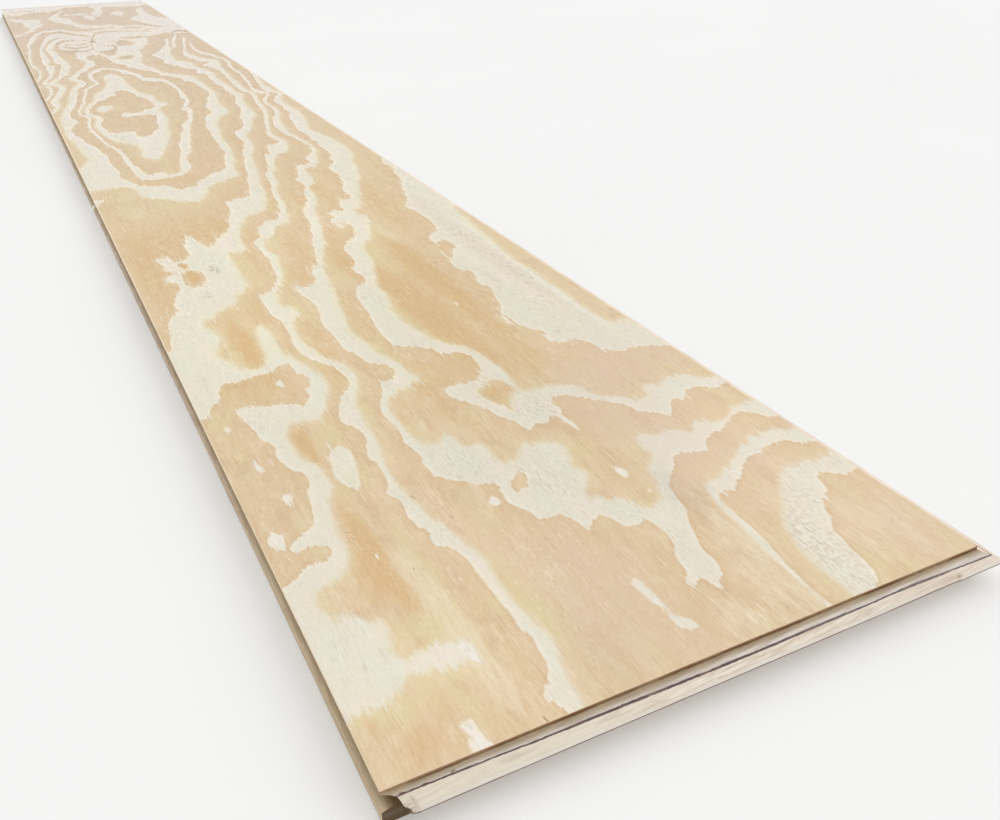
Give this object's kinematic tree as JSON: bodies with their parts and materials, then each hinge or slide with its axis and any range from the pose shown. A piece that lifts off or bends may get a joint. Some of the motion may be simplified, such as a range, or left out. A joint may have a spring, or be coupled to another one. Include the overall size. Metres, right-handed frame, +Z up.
{
  "type": "tongue and groove plywood sheet",
  "caption": "Long narrow sheet of pine plywood with a tongue on one end and one long edge and a matching groove on the other two edges.",
  "frame": {"origin": "middle of the bounding box, tongues included, on the underside", "axes": "+X along the length from the tongue end to the groove end, +Y across the width from the tongue edge to the groove edge, +Z up out of the best face"},
  "size_m": [2.4484, 0.3134, 0.018],
  "materials": {
    "pine_plywood": "sanded raw pine veneer, matt"
  },
  "bodies": {
    "root": {"plywood_sheet": "pine_plywood"}
  },
  "joints": []
}
